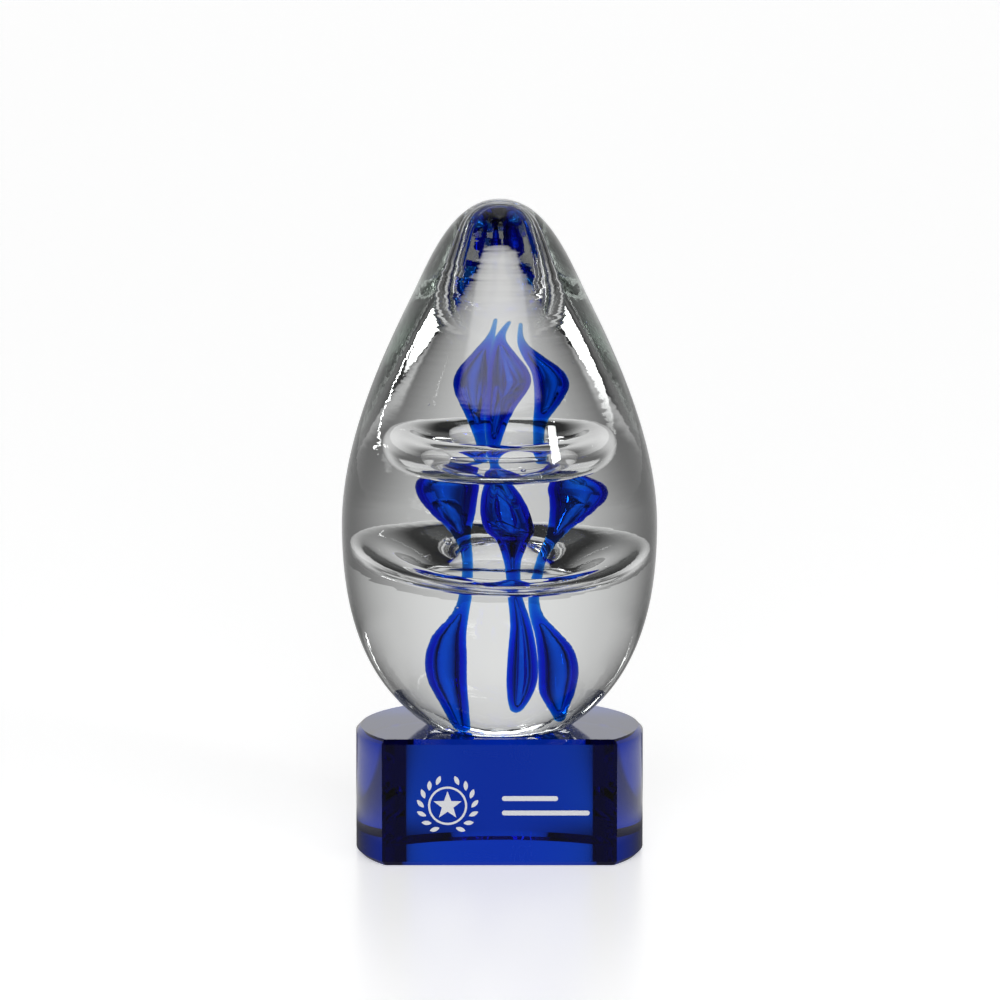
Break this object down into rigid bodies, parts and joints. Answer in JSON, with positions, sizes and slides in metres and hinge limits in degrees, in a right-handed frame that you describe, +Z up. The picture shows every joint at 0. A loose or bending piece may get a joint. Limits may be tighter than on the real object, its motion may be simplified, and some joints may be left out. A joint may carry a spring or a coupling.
{
  "type": "crystal award",
  "caption": "Clear art-glass egg with blue bubbled strands and trapped air rings inside, bonded on a D-shaped cobalt crystal block with an etched emblem.",
  "frame": {"origin": "on the egg's axis, on the surface that the block stands on", "axes": "+Z up along the egg's axis to its tip, -Y out of the flat etched front face, +X to the right as the award is read"},
  "size_m": [0.0906, 0.0906, 0.1888],
  "materials": {
    "cobalt_crystal": "ground and polished cobalt crystal",
    "clear_adhesive": "cured clear adhesive film",
    "clear_glass": "hand-gathered clear glass, fire polished",
    "blue_glass": "transparent cobalt glass drawn into thin threads and hollow lobes",
    "silver_fill": "matt silver colour filled into the etching"
  },
  "bodies": {
    "root": {"base_block": "cobalt_crystal", "bond_film": "clear_adhesive", "glass_core": "clear_glass", "glass_casing": "clear_glass", "left_strand": "blue_glass", "centre_strand": "blue_glass", "right_strand": "blue_glass", "emblem_inlay": "silver_fill", "inscription_inlay": "silver_fill"}
  },
  "joints": []
}
